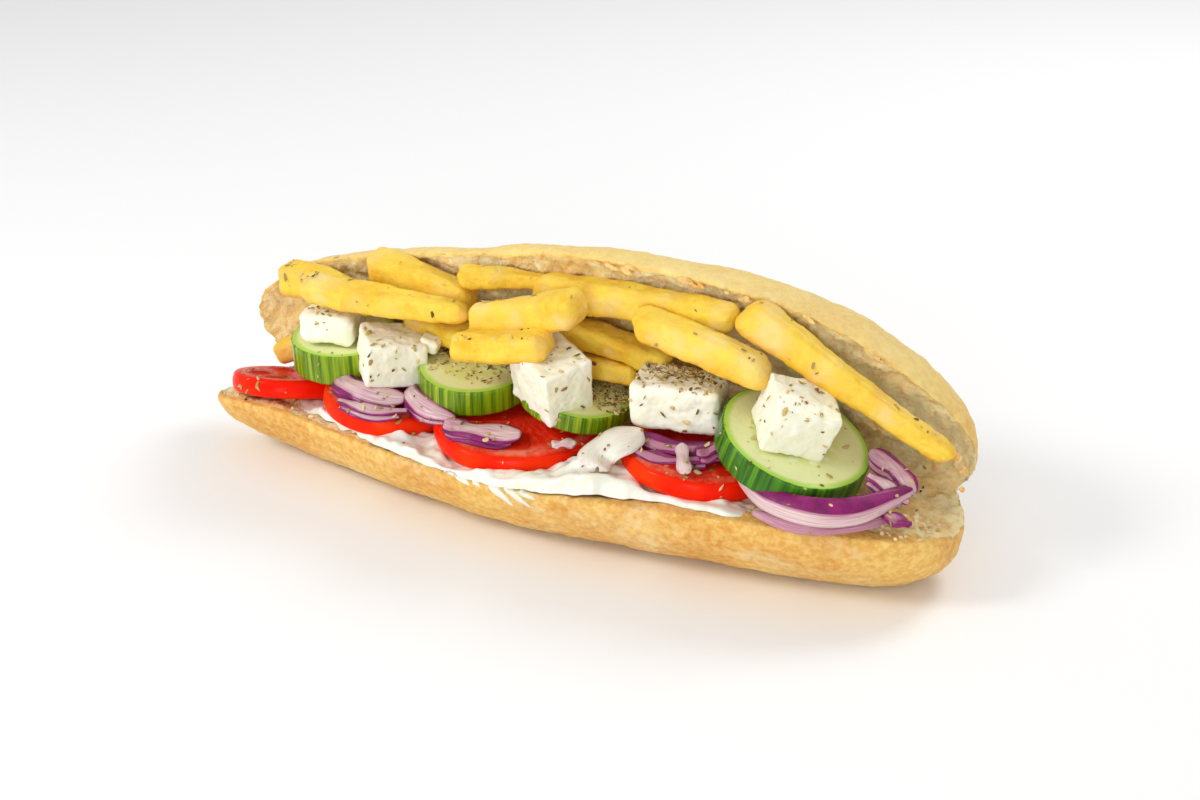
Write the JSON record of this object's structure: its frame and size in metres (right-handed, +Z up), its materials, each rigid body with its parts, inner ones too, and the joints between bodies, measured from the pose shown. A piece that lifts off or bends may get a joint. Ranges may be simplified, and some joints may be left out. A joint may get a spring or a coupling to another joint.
{
  "type": "submarine sandwich",
  "caption": "Open submarine sandwich: long crusty roll hinged at the back, filled with tomato and cucumber slices, cheese blocks, thick fries, red onion and white sauce.",
  "frame": {"origin": "middle of the roll's flat underside, on the surface it rests on", "axes": "+X along the roll to its blunt end, -Y to the open filled side, +Z up"},
  "size_m": [0.2735, 0.0913, 0.0893],
  "materials": {
    "bread_crust": "baked golden crust with pale crumb",
    "tomato_flesh": "wet red flesh",
    "cucumber_flesh": "moist pale flesh with striped green peel",
    "white_cheese": "moist crumbly white",
    "fried_potato": "lightly oiled golden",
    "red_onion": "moist purple and white",
    "white_sauce": "glossy thick sauce"
  },
  "bodies": {
    "root": {"bread": "bread_crust", "cucumber_1": "cucumber_flesh", "cucumber_2": "cucumber_flesh", "cucumber_3": "cucumber_flesh", "cucumber_4": "cucumber_flesh", "feta_1": "white_cheese", "feta_2": "white_cheese", "feta_3": "white_cheese", "feta_4": "white_cheese", "feta_5": "white_cheese", "feta_crumb": "white_cheese", "fry_01": "fried_potato", "fry_02": "fried_potato", "fry_03": "fried_potato", "fry_04": "fried_potato", "fry_05": "fried_potato", "fry_06": "fried_potato", "fry_07": "fried_potato", "fry_08": "fried_potato", "fry_09": "fried_potato", "fry_10": "fried_potato", "fry_11": "fried_potato", "fry_12": "fried_potato", "fry_13": "fried_potato", "onion_01": "red_onion", "onion_02": "red_onion", "onion_03": "red_onion", "onion_04": "red_onion", "onion_05": "red_onion", "onion_06": "red_onion", "onion_07": "red_onion", "onion_08": "red_onion", "onion_09": "red_onion", "onion_10": "red_onion", "onion_11": "red_onion", "onion_12": "red_onion", "onion_13": "red_onion", "onion_14": "red_onion", "onion_15": "red_onion", "sauce": "white_sauce", "tomato_1": "tomato_flesh", "tomato_2": "tomato_flesh", "tomato_3": "tomato_flesh", "tomato_4": "tomato_flesh"}
  },
  "joints": []
}
